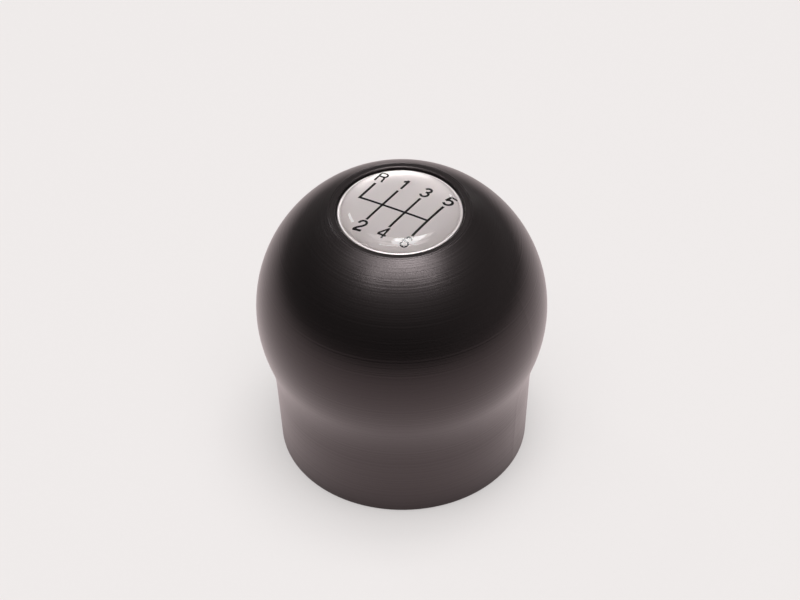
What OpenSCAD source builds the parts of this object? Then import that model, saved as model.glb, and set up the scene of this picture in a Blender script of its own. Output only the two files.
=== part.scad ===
// Gear shift knob: a ball with a flared skirt, turned in one piece from black acetal, with a
// silver shift-pattern badge under clear domed resin and a threaded brass insert for the lever.
// The base stands on Z = 0, the lever's axis is Z, and +Y is forward in the vehicle.

/* [Ball] */
// Diameter of the ball that the palm rests on
ball_d = 50; // [47:0.5:54]
// Height of the ball's centre above the base
ball_z = 29; // [27.5:0.1:31]

/* [Skirt] */
// Distance that the foot of the skirt stands inside the ball's widest point
skirt_inset = 3.6; // [2.5:0.1:5]
// Lean of the skirt's wall in degrees, wider towards the ball
skirt_lean = 3.2; // [1:0.1:5]
// Radius of the hollow neck that runs the ball into the skirt
neck_r = 30; // [12:1:40]
// Chamfer round the outside of the base
base_chamfer = 0.4; // [0.2:0.1:0.8]

/* [Badge seat] */
// Diameter of the flat land turned on top of the ball
land_d = 24.1; // [24:0.1:27]
// Chamfer round the outside of the land
land_chamfer = 0.15; // [0.05:0.05:0.3]
// Depth of the badge's seat below the land
seat_depth = 0.85; // [0.65:0.05:1.2]
// Gap between the badge and the wall of its seat
seat_gap = 0.35; // [0.1:0.05:0.5]
// Chamfer round the mouth of the seat
seat_chamfer = 0.1; // [0.05:0.05:0.4]

/* [Badge] */
// Diameter of the badge
badge_d = 21.2; // [19:0.1:21.6]
// Thickness of the silver plate
plate_t = 0.4; // [0.3:0.05:0.5]
// Width of the plate's rounded rim, inside which the resin sets
rim_w = 0.4; // [0.35:0.05:0.6]
// Rise of the rim above the plate's top
rim_h = 0.1; // [0.04:0.02:0.16]
// Depth of the ink let into the plate
ink_t = 0.1; // [0.05:0.05:0.2]
// Height of the clear resin over the middle of the plate
dome_h = 1.95; // [1:0.05:2.2]
// Length over which the resin's surface flattens, inwards from the rim
dome_flatten = 1.65; // [1.4:0.05:2.2]

/* [Shift pattern] */
// Distance between neighbouring gates along the neutral line
gate_pitch = 4.25; // [3.6:0.05:4.4]
// Reach of each gate in front of and behind the neutral line
gate_reach = 4.3; // [3.8:0.05:4.6]
// Lean of the gates in degrees, to the right at their front ends
gate_lean = 9.1; // [0:0.1:12]
// Width of the printed lines
line_w = 0.44; // [0.2:0.02:0.5]
// Place of the middle gate to the right of the badge's centre
pattern_x = 1.25; // [0:0.05:1.5]
// Place of the neutral line in front of the badge's centre
pattern_y = -0.6; // [-1:0.05:0.8]

/* [Collar recess] */
// Thickness of the skirt's foot round the recess that covers the lever's collar
foot_wall = 4.4; // [3.4:0.1:6]
// Depth of the recess
recess_depth = 10; // [8:0.5:12]
// Chamfer at the mouth of the recess
recess_chamfer = 0.5; // [0.3:0.1:1]

/* [Threaded insert] */
// Nominal diameter of the lever's thread
thread_d = 12; // [10:1:12]
// Pitch of the lever's thread
thread_pitch = 1.25; // [1:0.25:1.5]
// Length of the insert with its flange
insert_l = 22; // [18:1:26]
// Diameter over the knurled ridges
knurl_d = 16; // [15:0.5:18]
// Depth of the knurled ridges
knurl_depth = 0.5; // [0.3:0.1:0.7]
// Number of ridges round the insert
knurl_count = 24; // [20:1:28]
// Width of the plain groove between the two knurled bands
groove_w = 2.5; // [1.5:0.5:4]
// Diameter at the bottom of the groove
groove_d = 14; // [13.5:0.5:14]
// Diameter of the flange that seats under the ball
flange_d = 21; // [19.5:0.5:24]
// Thickness of the flange
flange_t = 2; // [1.5:0.5:3]
// Clearance round the insert in its socket
socket_gap = 0.05; // [0.02:0.01:0.1]
// Chamfer at both ends of the thread
thread_chamfer = 0.8; // [0.4:0.1:1]
// Room above the insert for the lever's tip
tip_room = 4; // [2:0.5:6]
// Included angle of the drill that cut the hole for the lever's tip
drill_angle = 118; // [110:2:140]

/* [Hidden] */
$fn = 180;
ball_r = ball_d / 2;
base_r = ball_r - skirt_inset;
recess_r = base_r - foot_wall;
// The land cuts the ball where the ball is land_d across
land_z = ball_z + sqrt(ball_r ^ 2 - (land_d / 2) ^ 2);
seat_z = land_z - seat_depth;
badge_r = badge_d / 2;
seat_r = badge_r + seat_gap;
rim_r = rim_w / 2;
line_r = line_w / 2;
dome_r = badge_r - rim_w;
plate_top = seat_z + plate_t;
// A metric thread's bore is smaller than its nominal size by this share of the pitch
bore_share = 1.0825;
thread_bore_d = thread_d - bore_share * thread_pitch;
insert_top = recess_depth + insert_l;
groove_z = recess_depth + flange_t + (insert_l - flange_t - groove_w) / 2;
knurl_r = knurl_d / 2;
socket_r = knurl_r + socket_gap;
// Reach past a face, so that a cut leaves no skin
past = 1;

// Centre of the neck's arc, which touches the ball outside and the skirt's wall outside.
// The wall is the line through [base_r, 0] that leans out by skirt_lean.
neck_off = base_r + neck_r / cos(skirt_lean);
neck_rise = tan(skirt_lean);
// With r = neck_off + z * neck_rise on the line of centres, and ball_r + neck_r from the ball
neck_a = 1 + neck_rise ^ 2;
neck_b = neck_off * neck_rise - ball_z;
neck_c = neck_off ^ 2 + ball_z ^ 2 - (ball_r + neck_r) ^ 2;
neck_z = (-neck_b - sqrt(neck_b ^ 2 - neck_a * neck_c)) / neck_a;
neck_x = neck_off + neck_z * neck_rise;
// Where the arc leaves the wall and where it meets the ball
wall_point = [neck_x - neck_r * cos(skirt_lean), neck_z + neck_r * sin(skirt_lean)];
ball_share = ball_r / (ball_r + neck_r);
ball_point = [neck_x * ball_share, ball_z + (neck_z - ball_z) * ball_share];

// The resin sets as a drop that surface tension holds inside the rim. At each slope of its
// surface, drop_z is the depth below a flat top and drop_x the distance in from the edge.
edge_slope = 2 * asin(dome_h / (2 * dome_flatten));
drop_steps = 16;
// The steps crowd together towards the flat middle, where the surface needs fewer degrees
drop_crowding = 1.5;
function drop_z(slope) = 2 * dome_flatten * sin(slope / 2);
function drop_sum(slope) = ln(tan(slope / 4)) + 2 * cos(slope / 2);
function drop_x(slope) = dome_flatten * (drop_sum(edge_slope) - drop_sum(slope));
function drop_slope(step) = edge_slope * (1 - step / drop_steps) ^ drop_crowding;
drop_points = [
    for (step = [0:drop_steps - 1]) let (slope = drop_slope(step))
        [dome_r - drop_x(slope), dome_h - drop_z(slope)]
];

// A point of the leaning pattern, from its place along the neutral line and ahead of it
function leaning(spot) = [pattern_x + spot.x + spot.y * tan(gate_lean), pattern_y + spot.y];

// Corners of the gap between two gates, in front of the neutral line at way 1 and behind it at -1
function gap_corners(from, to, way) = let (aside = (to - from) * line_r) [
    [from * gate_pitch + aside, way * gate_reach], [from * gate_pitch + aside, way * line_r],
    [to * gate_pitch - aside, way * line_r], [to * gate_pitch - aside, way * gate_reach]
];

// Outline of the printed lines. The middle gate stands at place 0, and reverse is the half gate
// at place -2.
gate_outline = concat(
    [
        [-2 * gate_pitch - line_r, -line_r], [-gate_pitch - line_r, -line_r],
        [-gate_pitch - line_r, -gate_reach]
    ],
    [for (place = [-1:0]) each gap_corners(place, place + 1, -1)],
    [[gate_pitch + line_r, -gate_reach], [gate_pitch + line_r, gate_reach]],
    [for (place = [1:-1:-1]) each gap_corners(place, place - 1, 1)],
    [[-2 * gate_pitch - line_r, gate_reach]]
);

module gate_lines() {
    polygon([for (spot = gate_outline) leaning(spot)]);
}

// Half section of the turned outside, up to the land
module outside_section() {
    difference() {
        union() {
            intersection() {
                translate([0, ball_z]) circle(ball_r);
                square([ball_r + past, land_z]);
            }
            polygon([
                [0, 0], [base_r - base_chamfer, 0],
                [base_r + base_chamfer * neck_rise, base_chamfer],
                wall_point, [neck_x, neck_z], ball_point, [0, ball_z]
            ]);
        }
        translate([neck_x, neck_z]) circle(neck_r);
        // Chamfer round the land
        translate([land_d / 2, land_z]) rotate(45)
            square(land_chamfer * sqrt(2), center = true);
    }
}

// A blind hole with the cone that the drill leaves at its end
module drilled_hole(r, z, h) {
    translate([0, 0, z]) rotate_extrude() polygon([
        [0, 0], [r, 0], [r, h], [0, h + r / tan(drill_angle / 2)]
    ]);
}

// Chamfer at the mouth of a hole that opens downwards at height z
module chamfer_mouth(r, chamfer, z) {
    translate([0, 0, z - past])
        cylinder(h = chamfer + past, r1 = r + chamfer + past, r2 = r);
}

module knob_body() {
    color([0.11, 0.1, 0.1]) difference() {
        rotate_extrude() outside_section();
        translate([0, 0, seat_z]) cylinder(h = seat_depth + past, r = seat_r);
        mirror([0, 0, 1]) chamfer_mouth(seat_r, seat_chamfer, -land_z);
        translate([0, 0, -past]) cylinder(h = recess_depth + past, r = recess_r);
        chamfer_mouth(recess_r, recess_chamfer, 0);
        translate([0, 0, recess_depth - past])
            cylinder(h = flange_t + past, r = flange_d / 2 + socket_gap);
        translate([0, 0, recess_depth]) cylinder(h = insert_l, r = socket_r);
        drilled_hole(thread_d / 2, insert_top - past, tip_room + past);
    }
}

// A bar with straight ridges round it, which hold it in the plastic
module knurled_bar(z, h) {
    step = 360 / knurl_count;
    translate([0, 0, z]) linear_extrude(height = h) polygon([
        for (i = [0:knurl_count - 1], tip = [0, 1])
            let (r = knurl_r - (1 - tip) * knurl_depth, a = (i + tip / 2) * step)
                [r * cos(a), r * sin(a)]
    ]);
}

module threaded_insert() {
    color([0.78, 0.62, 0.3]) difference() {
        union() {
            translate([0, 0, recess_depth]) cylinder(h = flange_t, r = flange_d / 2);
            translate([0, 0, recess_depth]) cylinder(h = insert_l, r = groove_d / 2);
            knurled_bar(recess_depth + flange_t, groove_z - recess_depth - flange_t);
            knurled_bar(groove_z + groove_w, insert_top - groove_z - groove_w);
        }
        translate([0, 0, recess_depth - past])
            cylinder(h = insert_l + 2 * past, r = thread_bore_d / 2);
        chamfer_mouth(thread_bore_d / 2, thread_chamfer, recess_depth);
        mirror([0, 0, 1]) chamfer_mouth(thread_bore_d / 2, thread_chamfer, -insert_top);
    }
}

// Half section of the plate, whose rim is a round bead that stands proud of the top
module plate_section() {
    rim_z = plate_t + rim_h - rim_r;
    square([badge_r - rim_r, plate_t]);
    square([badge_r, rim_z]);
    translate([badge_r - rim_r, rim_z]) circle(rim_r);
}

module badge_plate() {
    color([0.78, 0.77, 0.76]) difference() {
        translate([0, 0, seat_z]) rotate_extrude() plate_section();
        translate([0, 0, plate_top - ink_t]) linear_extrude(height = ink_t + past) gate_lines();
    }
}

module shift_gates() {
    color([0.05, 0.05, 0.05]) translate([0, 0, plate_top - ink_t])
        linear_extrude(height = ink_t) gate_lines();
}

module badge_dome() {
    color([0.95, 0.97, 1, 0.35]) translate([0, 0, plate_top])
        rotate_extrude() polygon(concat([[0, 0]], drop_points, [[0, dome_h]]));
}

knob_body();
threaded_insert();
badge_plate();
shift_gates();
badge_dome();
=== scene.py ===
"""Looks of the gear shift knob: materials, printed digits, the resin's curve, the thread and the studio."""
import math

import bmesh
import bpy
from mathutils import Matrix, Vector


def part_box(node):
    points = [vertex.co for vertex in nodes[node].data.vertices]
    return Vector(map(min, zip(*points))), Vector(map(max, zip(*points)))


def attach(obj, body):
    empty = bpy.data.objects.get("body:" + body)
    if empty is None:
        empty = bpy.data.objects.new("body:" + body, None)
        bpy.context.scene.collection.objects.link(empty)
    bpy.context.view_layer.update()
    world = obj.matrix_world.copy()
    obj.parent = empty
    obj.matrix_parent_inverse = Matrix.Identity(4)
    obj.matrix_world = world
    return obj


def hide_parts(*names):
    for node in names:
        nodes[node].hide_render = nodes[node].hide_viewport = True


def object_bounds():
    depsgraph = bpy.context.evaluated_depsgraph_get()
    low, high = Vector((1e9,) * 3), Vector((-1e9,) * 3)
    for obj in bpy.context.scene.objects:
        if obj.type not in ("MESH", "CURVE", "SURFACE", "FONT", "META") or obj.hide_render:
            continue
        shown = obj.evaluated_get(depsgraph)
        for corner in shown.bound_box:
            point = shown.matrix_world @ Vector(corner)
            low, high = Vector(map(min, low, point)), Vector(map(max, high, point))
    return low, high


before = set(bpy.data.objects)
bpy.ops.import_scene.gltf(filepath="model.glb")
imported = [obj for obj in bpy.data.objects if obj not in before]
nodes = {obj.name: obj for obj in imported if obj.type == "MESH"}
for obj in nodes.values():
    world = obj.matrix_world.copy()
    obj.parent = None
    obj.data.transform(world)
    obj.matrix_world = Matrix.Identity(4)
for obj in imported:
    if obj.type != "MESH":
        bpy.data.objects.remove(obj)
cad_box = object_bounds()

MM = 0.001
scene = bpy.context.scene

# Heights and sizes that the CAD nodes give
PLATE_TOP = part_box("badge_dome")[0].z
DOME_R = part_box("badge_dome")[1].x
DOME_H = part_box("badge_dome")[1].z - PLATE_TOP
BALL_R = cad_box[1].x
# Height of the ball's centre, which no node's box gives
BALL_Z = 29 * MM


def link(obj):
    scene.collection.objects.link(obj)
    return obj


def mesh_object(name, mesh, body="root"):
    """A new piece of the knob, which rides on a body of the frame."""
    obj = link(bpy.data.objects.new(name, mesh))
    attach(obj, body)
    return obj


# The camera stands where the photograph was taken from

CAMERA_AZIMUTH = math.radians(28.5)
CAMERA_ELEVATION = math.radians(43.5)
CAMERA_ROLL = math.radians(-1.05)
CAMERA_DISTANCE = 690 * MM
PHOTO_W, PHOTO_H = 800, 600
BALL_IN_PHOTO = (401.7, 304.6)
FOCAL_PX = 4017
SENSOR_W = 36


def add_camera():
    a, e = CAMERA_AZIMUTH, CAMERA_ELEVATION
    back = Vector((math.sin(a) * math.cos(e), -math.cos(a) * math.cos(e), math.sin(e)))
    right = Vector((math.cos(a), math.sin(a), 0))
    up = back.cross(right)
    turn = Matrix((right, up, back)).transposed() @ Matrix.Rotation(CAMERA_ROLL, 3, "Z")
    ball = Vector((0, 0, BALL_Z))
    per_px = CAMERA_DISTANCE / FOCAL_PX
    off_x = (BALL_IN_PHOTO[0] - PHOTO_W / 2) * per_px
    off_y = (PHOTO_H / 2 - BALL_IN_PHOTO[1]) * per_px
    place = ball + back * CAMERA_DISTANCE - turn @ Vector((off_x, off_y, 0))
    data = bpy.data.cameras.new("camera")
    data.sensor_width = SENSOR_W
    data.lens = FOCAL_PX / PHOTO_W * SENSOR_W
    data.clip_start = 0.01
    data.clip_end = 20
    camera = link(bpy.data.objects.new("camera", data))
    camera.matrix_world = Matrix.Translation(place) @ turn.to_4x4()
    scene.camera = camera


# Node materials

class Nodes:
    """A material's node tree, with one call for each node."""

    def __init__(self, name):
        self.material = bpy.data.materials.new(name)
        self.material.use_nodes = True
        self.tree = self.material.node_tree
        self.shader = self.tree.nodes["Principled BSDF"]

    def add(self, kind, inputs=None, **settings):
        node = self.tree.nodes.new("ShaderNode" + kind)
        for key, value in settings.items():
            setattr(node, key, value)
        for key, value in (inputs or {}).items():
            self.feed(node, key, value)
        return node

    def feed(self, node, key, value):
        """Sets a socket to a value, or links another node's output to it."""
        if isinstance(value, bpy.types.NodeSocket):
            self.tree.links.new(value, node.inputs[key])
        else:
            node.inputs[key].default_value = value

    def math(self, operation, *values):
        node = self.add("Math", operation=operation)
        for i, value in enumerate(values):
            self.feed(node, i, value)
        return node.outputs[0]

    def vector(self, operation, *values):
        node = self.add("VectorMath", operation=operation)
        for i, value in enumerate(values):
            self.feed(node, i, value)
        return node.outputs["Value" if operation == "LENGTH" else "Vector"]

    def position(self):
        return self.add("TexCoord").outputs["Object"]

    def noise(self, scale, detail, vector=None, w=None):
        if w is not None:
            node = self.add("TexNoise", {"W": w, "Scale": scale, "Detail": detail}, noise_dimensions="1D")
        else:
            node = self.add("TexNoise", {"Vector": vector, "Scale": scale, "Detail": detail})
        return node.outputs[0]

    def span(self, value, low, high, to_low, to_high):
        """Maps value from low..high to to_low..to_high, and holds it there."""
        node = self.add("MapRange", {0: value, 1: low, 2: high, 3: to_low, 4: to_high})
        return node.outputs[0]

    def mix(self, factor, a, b):
        node = self.add("Mix", data_type="RGBA")
        for key, value in ((0, factor), (6, a), (7, b)):
            self.feed(node, key, value)
        return node.outputs[2]

    def bump(self, height, distance, normal=None):
        node = self.add("Bump", {"Height": height, "Distance": distance})
        if normal:
            self.feed(node, "Normal", normal)
        return node.outputs[0]

    def set(self, **inputs):
        for key, value in inputs.items():
            self.feed(self.shader, key.replace("_", " "), value)
        return self.material


# How far the light sees the turned edges as rounded
EDGE_EASE = 0.25 * MM
# Depths of the rings, the finer tool marks and the plastic's grain
RING_DEPTH = 13e-6
TOOL_DEPTH = 2e-6
GRAIN_DEPTH = 1e-6
# Cells to the metre that can hold a speck of dust, the least random value of a cell that holds one,
# and a speck's radius as a share of its cell
DUST_CELLS = 210.0
DUST_FROM = 0.93
DUST_R = 0.035


def acetal():
    """Satin black plastic with the fine rings that turning leaves, and a few specks of dust."""
    n = Nodes("acetal")
    place = n.position()
    axis = n.add("SeparateXYZ", {0: place})
    flat = n.vector("MULTIPLY", place, (1, 1, 0))
    radius = n.vector("LENGTH", flat)
    height = n.math("SUBTRACT", axis.outputs[2], BALL_Z)
    angle = n.math("ARCTAN2", radius, height)
    along = n.math("MULTIPLY", angle, BALL_R / MM)
    rings = n.noise(3.0, 1.0, w=along)
    tool = n.noise(9.0, 2.0, w=along)
    grain = n.noise(2600, 3.0, vector=place)
    eased = n.add("Bevel", {"Radius": EDGE_EASE}, samples=6).outputs[0]
    normal = n.bump(rings, RING_DEPTH, normal=eased)
    normal = n.bump(tool, TOOL_DEPTH, normal=normal)
    normal = n.bump(grain, GRAIN_DEPTH, normal=normal)
    dust_cells = n.add("TexVoronoi", {"Vector": place, "Scale": DUST_CELLS})
    chosen = n.math("GREATER_THAN", n.add("SeparateColor", {0: dust_cells.outputs[1]}).outputs[0], DUST_FROM)
    speck = n.math("LESS_THAN", dust_cells.outputs[0], DUST_R)
    dust = n.math("MULTIPLY", chosen, speck)
    black = n.mix(n.noise(90, 4.0, vector=place), (0.0035, 0.003, 0.003, 1), (0.005, 0.0042, 0.0042, 1))
    color = n.mix(n.math("MULTIPLY", dust, 0.5), black, (0.35, 0.31, 0.28, 1))
    rough = n.span(rings, 0.35, 0.65, 0.275, 0.335)
    return n.set(
        Base_Color=color, Roughness=rough, IOR=1.5, Specular_IOR_Level=0.72,
        Specular_Tint=(1, 0.84, 0.86, 1), Coat_Weight=1.0, Coat_Roughness=0.3, Coat_IOR=1.26,
        Coat_Normal=normal, Normal=normal)


def brass():
    """Machined brass: turned faces with a faint tarnish."""
    n = Nodes("brass")
    place = n.position()
    flat = n.vector("MULTIPLY", place, (1, 1, 0))
    radius = n.math("MULTIPLY", n.vector("LENGTH", flat), 1 / MM)
    cuts = n.noise(14.0, 3.0, w=radius)
    stain = n.noise(420, 5.0, vector=place)
    color = n.mix(n.span(stain, 0.35, 0.75, 0, 1), (0.72, 0.50, 0.20, 1), (0.63, 0.43, 0.17, 1))
    rough = n.span(n.noise(900, 3.0, vector=place), 0.3, 0.7, 0.22, 0.38)
    return n.set(Base_Color=color, Metallic=1.0, Roughness=rough, Normal=n.bump(cuts, 6e-6))


def silver():
    """The badge's satin silver film."""
    n = Nodes("silver_plate")
    place = n.position()
    flake = n.noise(9000, 2.0, vector=place)
    color = n.mix(flake, (0.82, 0.765, 0.76, 1), (0.9, 0.84, 0.835, 1))
    return n.set(Base_Color=color, Metallic=0.55, Roughness=0.4, Normal=n.bump(flake, 1.5e-6))


def ink():
    """Black screen-printed ink, with a slightly uneven coat."""
    n = Nodes("ink")
    place = n.position()
    coat = n.noise(5000, 3.0, vector=place)
    color = n.mix(coat, (0.006, 0.005, 0.006, 1), (0.014, 0.012, 0.012, 1))
    return n.set(Base_Color=color, Roughness=n.span(coat, 0.3, 0.7, 0.45, 0.6), Specular_IOR_Level=0.1)


def resin():
    """Clear resin over the badge."""
    n = Nodes("clear_resin")
    place = n.position()
    ripple = n.noise(260, 2.0, vector=place)
    return n.set(
        Base_Color=(0.98, 0.975, 0.97, 1), Roughness=0.02, IOR=1.5, Specular_IOR_Level=0.4,
        Transmission_Weight=1.0, Normal=n.bump(ripple, 4e-6))


# The badge's resin, with the true curve of a drop held at its edge

DOME_FLATTEN = 1.65 * MM
DOME_STEPS = 56
ROUND_STEPS = 192
# The curve is all but level past this share of the way in
LEVEL_FROM = 0.97
SUNK = 0.01 * MM
SHARP_EDGE = math.radians(40)


def drop_profile():
    """Points [radius, height over the plate] from the resin's edge to its axis."""
    edge = 2 * math.asin(DOME_H / (2 * DOME_FLATTEN))

    def total(slope):
        return math.log(math.tan(slope / 4)) + 2 * math.cos(slope / 2)

    points = []
    for step in range(DOME_STEPS):
        slope = edge * (1 - step / DOME_STEPS) ** 1.5
        inwards = DOME_FLATTEN * (total(edge) - total(slope))
        if inwards > LEVEL_FROM * DOME_R:
            break
        points.append((DOME_R - inwards, DOME_H - 2 * DOME_FLATTEN * math.sin(slope / 2)))
    return points + [(0, DOME_H)]


def turned_mesh(name, profile):
    """Revolves [radius, height] points round Z into a closed smooth mesh; both ends lie on the axis."""
    bm = bmesh.new()
    rows = []
    for radius, height in profile:
        if radius == 0:
            rows.append([bm.verts.new((0, 0, height))])
            continue
        ring = []
        for k in range(ROUND_STEPS):
            turn = 2 * math.pi * k / ROUND_STEPS
            ring.append(bm.verts.new((radius * math.cos(turn), radius * math.sin(turn), height)))
        rows.append(ring)
    for low, high in zip(rows, rows[1:]):
        for k in range(ROUND_STEPS):
            after = (k + 1) % ROUND_STEPS
            if len(low) == 1:
                bm.faces.new((low[0], high[after], high[k]))
            elif len(high) == 1:
                bm.faces.new((low[k], low[after], high[0]))
            else:
                bm.faces.new((low[k], low[after], high[after], high[k]))
    mesh = bpy.data.meshes.new(name)
    bm.to_mesh(mesh)
    bm.free()
    mesh.polygons.foreach_set("use_smooth", [True] * len(mesh.polygons))
    return mesh


def add_dome(material):
    """The resin's underside is sunk by SUNK, so that the plate and ink touch it with no film of air."""
    curve = [(radius, PLATE_TOP + height) for radius, height in drop_profile()]
    mesh = turned_mesh("resin", [(0, PLATE_TOP - SUNK), (DOME_R, PLATE_TOP - SUNK)] + curve)
    mesh.materials.append(material)
    mesh.set_sharp_from_angle(angle=SHARP_EDGE)
    dome = mesh_object("resin_dome", mesh)
    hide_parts("badge_dome")


# The printed digits

# Sizes in mm: width of a stroke, and of one where the print has come out thinner, the print's
# thickness and a character's height
DIGIT_STROKE = 0.42
THIN_STROKE = 0.34
THIN_DIGITS = ("R", "4", "6")
INK_LIFT = 0.02
CAP_H = 2.4
LEAN = math.tan(math.radians(9.1))


def arc(x, y, rx, ry, start, end, steps=14):
    """Points along an ellipse, between two angles in degrees."""
    angles = [math.radians(start + (end - start) * k / steps) for k in range(steps + 1)]
    return [(x + rx * math.cos(a), y + ry * math.sin(a)) for a in angles]


# Centre lines of each character's strokes, where 1 is its height
CHARACTERS = {
    "R": [
        [(0.07, 0), (0.07, 1)],
        [(0.07, 0.93), (0.38, 0.93)] + arc(0.38, 0.735, 0.21, 0.195, 85, -85) + [(0.38, 0.54), (0.07, 0.54)],
        [(0.34, 0.54)] + arc(0.4, 0.36, 0.14, 0.17, 70, 10, 6) + [(0.55, 0.15), (0.6, 0)],
    ],
    "1": [
        [(0.33, 0), (0.33, 1)],
        arc(0.05, 1.03, 0.26, 0.25, -90, -8, 8),
    ],
    "2": [
        arc(0.35, 0.69, 0.26, 0.245, 190, -30) + [(0.48, 0.45), (0.24, 0.27), (0.11, 0.13), (0.07, 0.03)],
        [(0.03, 0.065), (0.67, 0.065)],
    ],
    "3": [
        arc(0.32, 0.735, 0.23, 0.2, 165, -80) + [(0.27, 0.53)],
        [(0.27, 0.53)] + arc(0.32, 0.3, 0.265, 0.235, 85, -165),
    ],
    "4": [
        [(0.5, 0), (0.5, 1)],
        [(0.5, 0.97), (0.07, 0.31)],
        [(0.03, 0.27), (0.68, 0.27)],
    ],
    "5": [
        [(0.61, 0.935), (0.14, 0.935)],
        [(0.18, 0.99), (0.1, 0.45)],
        [(0.09, 0.46)] + arc(0.34, 0.33, 0.27, 0.27, 140, -155),
    ],
    "6": [
        arc(0.33, 0.31, 0.245, 0.245, 0, 360, 28),
        arc(0.36, 0.69, 0.215, 0.245, 20, 120, 8) + arc(0.39, 0.5, 0.305, 0.4, 140, 205, 8),
    ],
}
# Middle of each character on the plate, in mm from its centre, as the shift pattern places them
DIGIT_PLACES = {
    "R": (-6.22, 5.5), "1": (-2.24, 5.5), "3": (2.14, 5.38), "5": (6.42, 5.35),
    "2": (-3.9, -6.34), "4": (0.28, -6.3), "6": (4.48, -6.42),
}


def stroke_mesh(points, width, low, high):
    """A closed prism along a line of points, width wide, between two heights."""
    closed = math.dist(points[0], points[-1]) < 1e-6
    if closed:
        points = points[:-1]
    count = len(points)
    sides = []
    for k, point in enumerate(points):
        before = points[(k - 1) % count] if closed or k else point
        after = points[(k + 1) % count] if closed or k < count - 1 else point
        come = Vector(point) - Vector(before)
        leave = Vector(after) - Vector(point)
        along = (come.normalized() + leave.normalized()).normalized()
        reach = width / 2 / max(along.dot((come if come.length else leave).normalized()), 0.5)
        off = Vector((-along.y, along.x)) * reach
        sides.append((Vector(point) + off, Vector(point) - off))
    verts = [(p.x, p.y, z) for left, right in sides for p in (left, right) for z in (low, high)]
    faces = []
    for k in range(count if closed else count - 1):
        a, b = 4 * k, 4 * ((k + 1) % count)
        faces += [
            (a + 1, a + 3, b + 3, b + 1), (a, b, b + 2, a + 2),
            (a, a + 1, b + 1, b), (a + 2, b + 2, b + 3, a + 3)]
    if not closed:
        end = 4 * (count - 1)
        faces += [(0, 2, 3, 1), (end, end + 1, end + 3, end + 2)]
    mesh = bpy.data.meshes.new("stroke")
    mesh.from_pydata(verts, [], faces)
    return mesh


def boolean(mesh, tool, operation):
    """The union or difference of two meshes, as a new mesh."""
    base = link(bpy.data.objects.new("base", mesh))
    other = link(bpy.data.objects.new("tool", tool))
    step = base.modifiers.new("boolean", "BOOLEAN")
    step.operation = operation
    step.solver = "EXACT"
    step.object = other
    result = bpy.data.meshes.new_from_object(base.evaluated_get(bpy.context.evaluated_depsgraph_get()))
    for used in (base, other):
        bpy.data.objects.remove(used)
    return result


def add_digits(material):
    """The digits, each of which is one printed film on the plate, under the resin."""
    bm = bmesh.new()
    for character, strokes in CHARACTERS.items():
        places = [x for stroke in strokes for x, _ in stroke]
        middle = (min(places) + max(places)) / 2
        x0, y0 = DIGIT_PLACES[character]
        width = THIN_STROKE if character in THIN_DIGITS else DIGIT_STROKE
        whole = None
        for stroke in strokes:
            points = []
            for x, y in stroke:
                ahead = (y - 0.5) * CAP_H
                points.append((x0 + (x - middle) * CAP_H + ahead * LEAN, y0 + ahead))
            mesh = stroke_mesh(points, width, -INK_LIFT / 4, INK_LIFT)
            whole = boolean(whole, mesh, "UNION") if whole else mesh
        bm.from_mesh(whole)
    bmesh.ops.scale(bm, vec=(MM, MM, MM), verts=bm.verts)
    bmesh.ops.translate(bm, vec=(0, 0, PLATE_TOP), verts=bm.verts)
    mesh = bpy.data.meshes.new("digits")
    bm.to_mesh(mesh)
    bm.free()
    mesh.materials.append(material)
    digits = mesh_object("shift_digits", mesh)


# The lever's thread

THREAD_R = 6 * MM
THREAD_PITCH = 1.25 * MM
# Half widths of the cut at its root and where it starts, just inside the bore
ROOT_HALF = THREAD_PITCH / 16
MOUTH_HALF = 0.49 * THREAD_PITCH
MOUTH_R = THREAD_R - 0.6 * THREAD_PITCH
TURN_STEPS = 48
THREAD_PAST = 2 * MM


def add_thread(node, material):
    """Cuts a metric thread into the insert's bore."""
    low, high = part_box("threaded_insert")
    turns = (high.z - low.z + 2 * THREAD_PAST) / THREAD_PITCH
    steps = round(turns * TURN_STEPS)
    corners = ((MOUTH_R, -MOUTH_HALF), (THREAD_R, -ROOT_HALF), (THREAD_R, ROOT_HALF), (MOUTH_R, MOUTH_HALF))
    verts, faces = [], []
    for k in range(steps + 1):
        turn = 2 * math.pi * k / TURN_STEPS
        z = low.z - THREAD_PAST + THREAD_PITCH * k / TURN_STEPS
        for radius, rise in corners:
            verts.append((radius * math.cos(turn), radius * math.sin(turn), z + rise))
    for k in range(steps):
        a = 4 * k
        for i in range(4):
            j = (i + 1) % 4
            faces.append((a + i, a + 4 + i, a + 4 + j, a + j))
    faces += [(0, 1, 2, 3), tuple(4 * steps + i for i in (3, 2, 1, 0))]
    cutter = bpy.data.meshes.new("cutter")
    cutter.from_pydata(verts, [], faces)
    mesh = boolean(node.data, cutter, "DIFFERENCE")
    mesh.materials.clear()
    mesh.materials.append(material)
    insert = mesh_object("insert_with_thread", mesh)
    insert.matrix_world = node.matrix_world
    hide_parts("threaded_insert")


# Studio

FAR = Vector((-math.sin(CAMERA_AZIMUTH), math.cos(CAMERA_AZIMUTH), 0))
SIDE = Vector((math.cos(CAMERA_AZIMUTH), math.sin(CAMERA_AZIMUTH), 0))
UP = Vector((0, 0, 1))
# The paper's tone to the camera, and in the knob
PALE = (0.915, 0.882, 0.875, 1)
WARM = (0.95, 0.78, 0.785, 1)
# Radius of the painted pool of light on the paper, which the knob's reflections and bounced light see, and of
# the paper that the knob reflects, past which that painted light drops to black
PAINTED_POOL_R = 110 * MM
PAINTED_POOL_EDGE_R = 300 * MM
# Share of that painted light that stays far from the knob
PAINTED_FAR_LIGHT = 0.35
# Where the base meets the paper, how far the painted shadow there reaches, and how deep it is to the camera
# and in the knob
BASE_R = 21.4 * MM
PAINTED_SHADOW_REACH = 3 * MM
PAINTED_SHADOW_SEEN = 0.16
PAINTED_SHADOW_MIRRORED = 0.55
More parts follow.
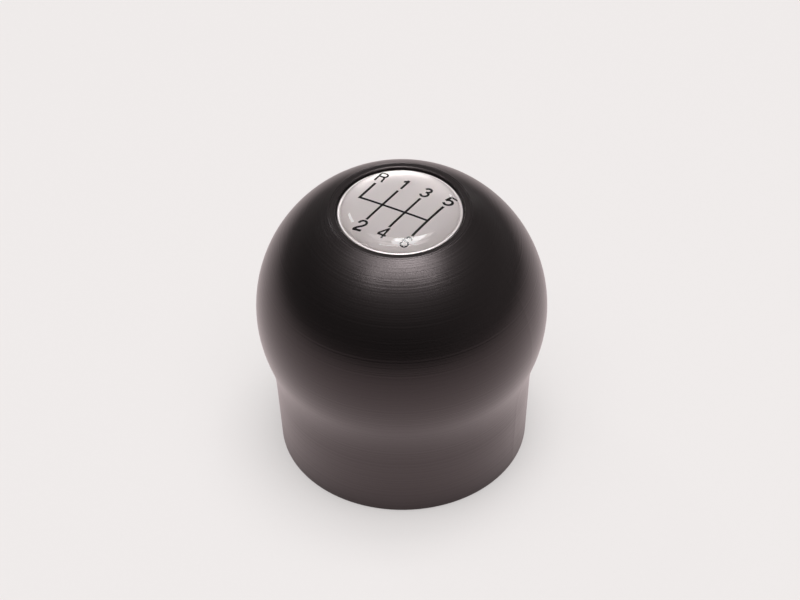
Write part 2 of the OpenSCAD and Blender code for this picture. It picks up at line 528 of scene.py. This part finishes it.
# Share of the paper's tone that is given and not lit, which keeps the rest of the knob's shadow
GIVEN_SHARE = 0.7
WHITE = (1, 1, 1, 1)
# Half of the floor's side
FLOOR_HALF = 6


def add_floor():
    """Pale paper; the camera sees it pale all over with the knob's shadow, the knob's reflections and bounced
    light see a painted pool of light round the knob, and both camera and reflections see a painted shadow
    round its base.
    """
    n = Nodes("floor")
    place = n.position()
    grain = n.noise(900, 3.0, vector=place)
    paper = n.mix(grain, (0.63, 0.61, 0.605, 1), (0.66, 0.64, 0.632, 1))
    distance = n.vector("LENGTH", place)
    # Painted pool of light: for all but camera rays the paper darkens away from the knob, and past the pool's
    # edge it is black
    painted_pool_spread = n.math("POWER", n.math("DIVIDE", distance, PAINTED_POOL_R), 2.0)
    painted_pool = n.math("ADD", n.math("DIVIDE", 1 - PAINTED_FAR_LIGHT, n.math("ADD", painted_pool_spread, 1.0)), PAINTED_FAR_LIGHT)
    painted_pool = n.math("MULTIPLY", painted_pool, n.math("LESS_THAN", distance, PAINTED_POOL_EDGE_R))
    # Painted shadow round the base, deepest where it meets the paper; it darkens the paper's glow to the
    # camera and in the knob's reflections
    from_base = n.math("MAXIMUM", n.math("SUBTRACT", distance, BASE_R), 0.0)
    painted_base_shadow = n.math("EXPONENT", n.math("DIVIDE", from_base, -PAINTED_SHADOW_REACH))
    rays = n.add("LightPath")
    seen = rays.outputs["Is Camera Ray"]
    mirrored = n.math("MAXIMUM", rays.outputs["Is Glossy Ray"], rays.outputs["Is Transmission Ray"])
    depth = n.span(seen, 0.0, 1.0, PAINTED_SHADOW_MIRRORED, PAINTED_SHADOW_SEEN)
    open_share = n.math("SUBTRACT", 1.0, n.math("MULTIPLY", painted_base_shadow, depth))
    # The painted pool darkens the paper's colour and glow for all but camera rays
    light = n.mix(seen, painted_pool, WHITE)
    color = n.mix(1.0, paper, light)
    color.node.blend_type = "MULTIPLY"
    n.set(Base_Color=color, Roughness=0.9, Specular_IOR_Level=0.0)
    strength = n.math("MULTIPLY", light, open_share)
    pale = n.add("Emission", {"Color": n.mix(seen, WARM, PALE), "Strength": strength})
    share = n.math("MULTIPLY", n.math("MAXIMUM", seen, mirrored), GIVEN_SHARE)
    mix = n.add("MixShader", {0: share, 1: n.shader.outputs[0], 2: pale.outputs[0]})
    n.tree.links.new(mix.outputs[0], n.tree.nodes["Material Output"].inputs["Surface"])
    mesh = bpy.data.meshes.new("floor")
    corners = [(x * FLOOR_HALF, y * FLOOR_HALF, 0) for x, y in ((-1, -1), (1, -1), (1, 1), (-1, 1))]
    mesh.from_pydata(corners, [], [(0, 1, 2, 3)])
    mesh.materials.append(n.material)
    link(bpy.data.objects.new("floor", mesh))


# Each lamp is a soft strip over the knob: its elevation from the far side, its shift to the right
# of the camera, its half width and half depth, all in degrees, and the radiance of its surface,
# where 1 is white
LAMPS = {
    "overhead": (93, 4, 11, 10, 6.2),
    "overhead_far": (80, 6, 10, 7, 9.5),
    "overhead_left": (93, -25, 12, 8, 0.8),
    "far_wide": (79, 0, 22, 8, 2.7),
    "wide": (101, 3, 26, 8, 2.3),
    "wide_edge": (112, 0, 26, 2, 8),
    "left_window": (49, -30, 3.5, 5, 7),
    "right_window": (19, 26, 2, 2.5, 5),
}


def add_lamp(name, elevation, shift, half_width, half_depth, radiance):
    """A lamp of the table, 1 m away and facing the knob."""
    width, depth = 2 * math.tan(math.radians(half_width)), 2 * math.tan(math.radians(half_depth))
    rise = math.radians(elevation)
    to_lamp = FAR * math.cos(rise) + UP * math.sin(rise)
    to_lamp = (to_lamp + SIDE * math.tan(math.radians(shift))).normalized()
    right = (SIDE - to_lamp * SIDE.dot(to_lamp)).normalized()
    turn = Matrix((right, to_lamp.cross(right), to_lamp)).transposed()
    data = bpy.data.lights.new(name, "AREA")
    data.shape = "RECTANGLE"
    data.size, data.size_y = width, depth
    data.energy = radiance * math.pi * width * depth
    lamp = link(bpy.data.objects.new(name, data))
    lamp.matrix_world = Matrix.Translation(to_lamp + UP * BALL_Z) @ turn.to_4x4()


# The room's own light, the glow round the zenith and the bands over the horizon: spreads are in
# degrees, the rest is radiance, and a band has its spread, the way that it faces and its radiance
ROOM = 0.01
GLOW_SPREAD = 50
GLOW = 0.35
BANDS = ((5, FAR, 0.12), (15, FAR, 0.18), (30, SIDE, 0.2), (8, -SIDE, 0.08))


def add_world():
    """A ceiling that glows round the lamps, over a dim room with a pale far side."""
    world = bpy.data.worlds.new("studio")
    scene.world = world
    world.use_nodes = True
    tree = world.node_tree

    def node(kind, operation, *values):
        made = tree.nodes.new("ShaderNode" + kind)
        made.operation = operation
        for i, value in enumerate(values):
            if isinstance(value, bpy.types.NodeSocket):
                tree.links.new(value, made.inputs[i])
            else:
                made.inputs[i].default_value = value
        return made.outputs["Value"]

    direction = tree.nodes.new("ShaderNodeTexCoord").outputs["Generated"]
    height = node("VectorMath", "DOT_PRODUCT", direction, UP)
    from_top = node("Math", "ARCCOSINE", height)
    elevation = node("Math", "ARCSINE", node("Math", "MAXIMUM", height, 0.0))
    away = node("Math", "DIVIDE", from_top, math.radians(GLOW_SPREAD))
    bell = node("Math", "EXPONENT", node("Math", "MULTIPLY", node("Math", "MULTIPLY", away, away), -1.0))
    light = node("Math", "MULTIPLY_ADD", bell, GLOW, ROOM)
    for spread, way, radiance in BANDS:
        fade = node("Math", "EXPONENT", node("Math", "DIVIDE", elevation, -math.radians(spread)))
        faces = node("Math", "MAXIMUM", node("VectorMath", "DOT_PRODUCT", direction, way), 0.0)
        band = node("Math", "MULTIPLY", fade, node("Math", "MULTIPLY", faces, faces))
        light = node("Math", "MULTIPLY_ADD", band, radiance, light)
    lit = tree.nodes["Background"]
    lit.inputs["Color"].default_value = (1, 0.92, 0.905, 1)
    tree.links.new(light, lit.inputs["Strength"])
    pale = tree.nodes.new("ShaderNodeBackground")
    pale.inputs["Color"].default_value = PALE
    mix = tree.nodes.new("ShaderNodeMixShader")
    tree.links.new(tree.nodes.new("ShaderNodeLightPath").outputs["Is Camera Ray"], mix.inputs[0])
    tree.links.new(lit.outputs[0], mix.inputs[1])
    tree.links.new(pale.outputs[0], mix.inputs[2])
    tree.links.new(mix.outputs[0], tree.nodes["World Output"].inputs["Surface"])


add_camera()
add_floor()
add_world()
for name, lamp in LAMPS.items():
    add_lamp(name, *lamp)

materials = {"knob_body": acetal(), "threaded_insert": brass(), "badge_plate": silver(), "shift_gates": ink()}
for node, material in materials.items():
    nodes[node].data.materials.clear()
    nodes[node].data.materials.append(material)
add_dome(resin())
add_digits(materials["shift_gates"])
add_thread(nodes["threaded_insert"], materials["threaded_insert"])

scene.view_settings.view_transform = "Standard"
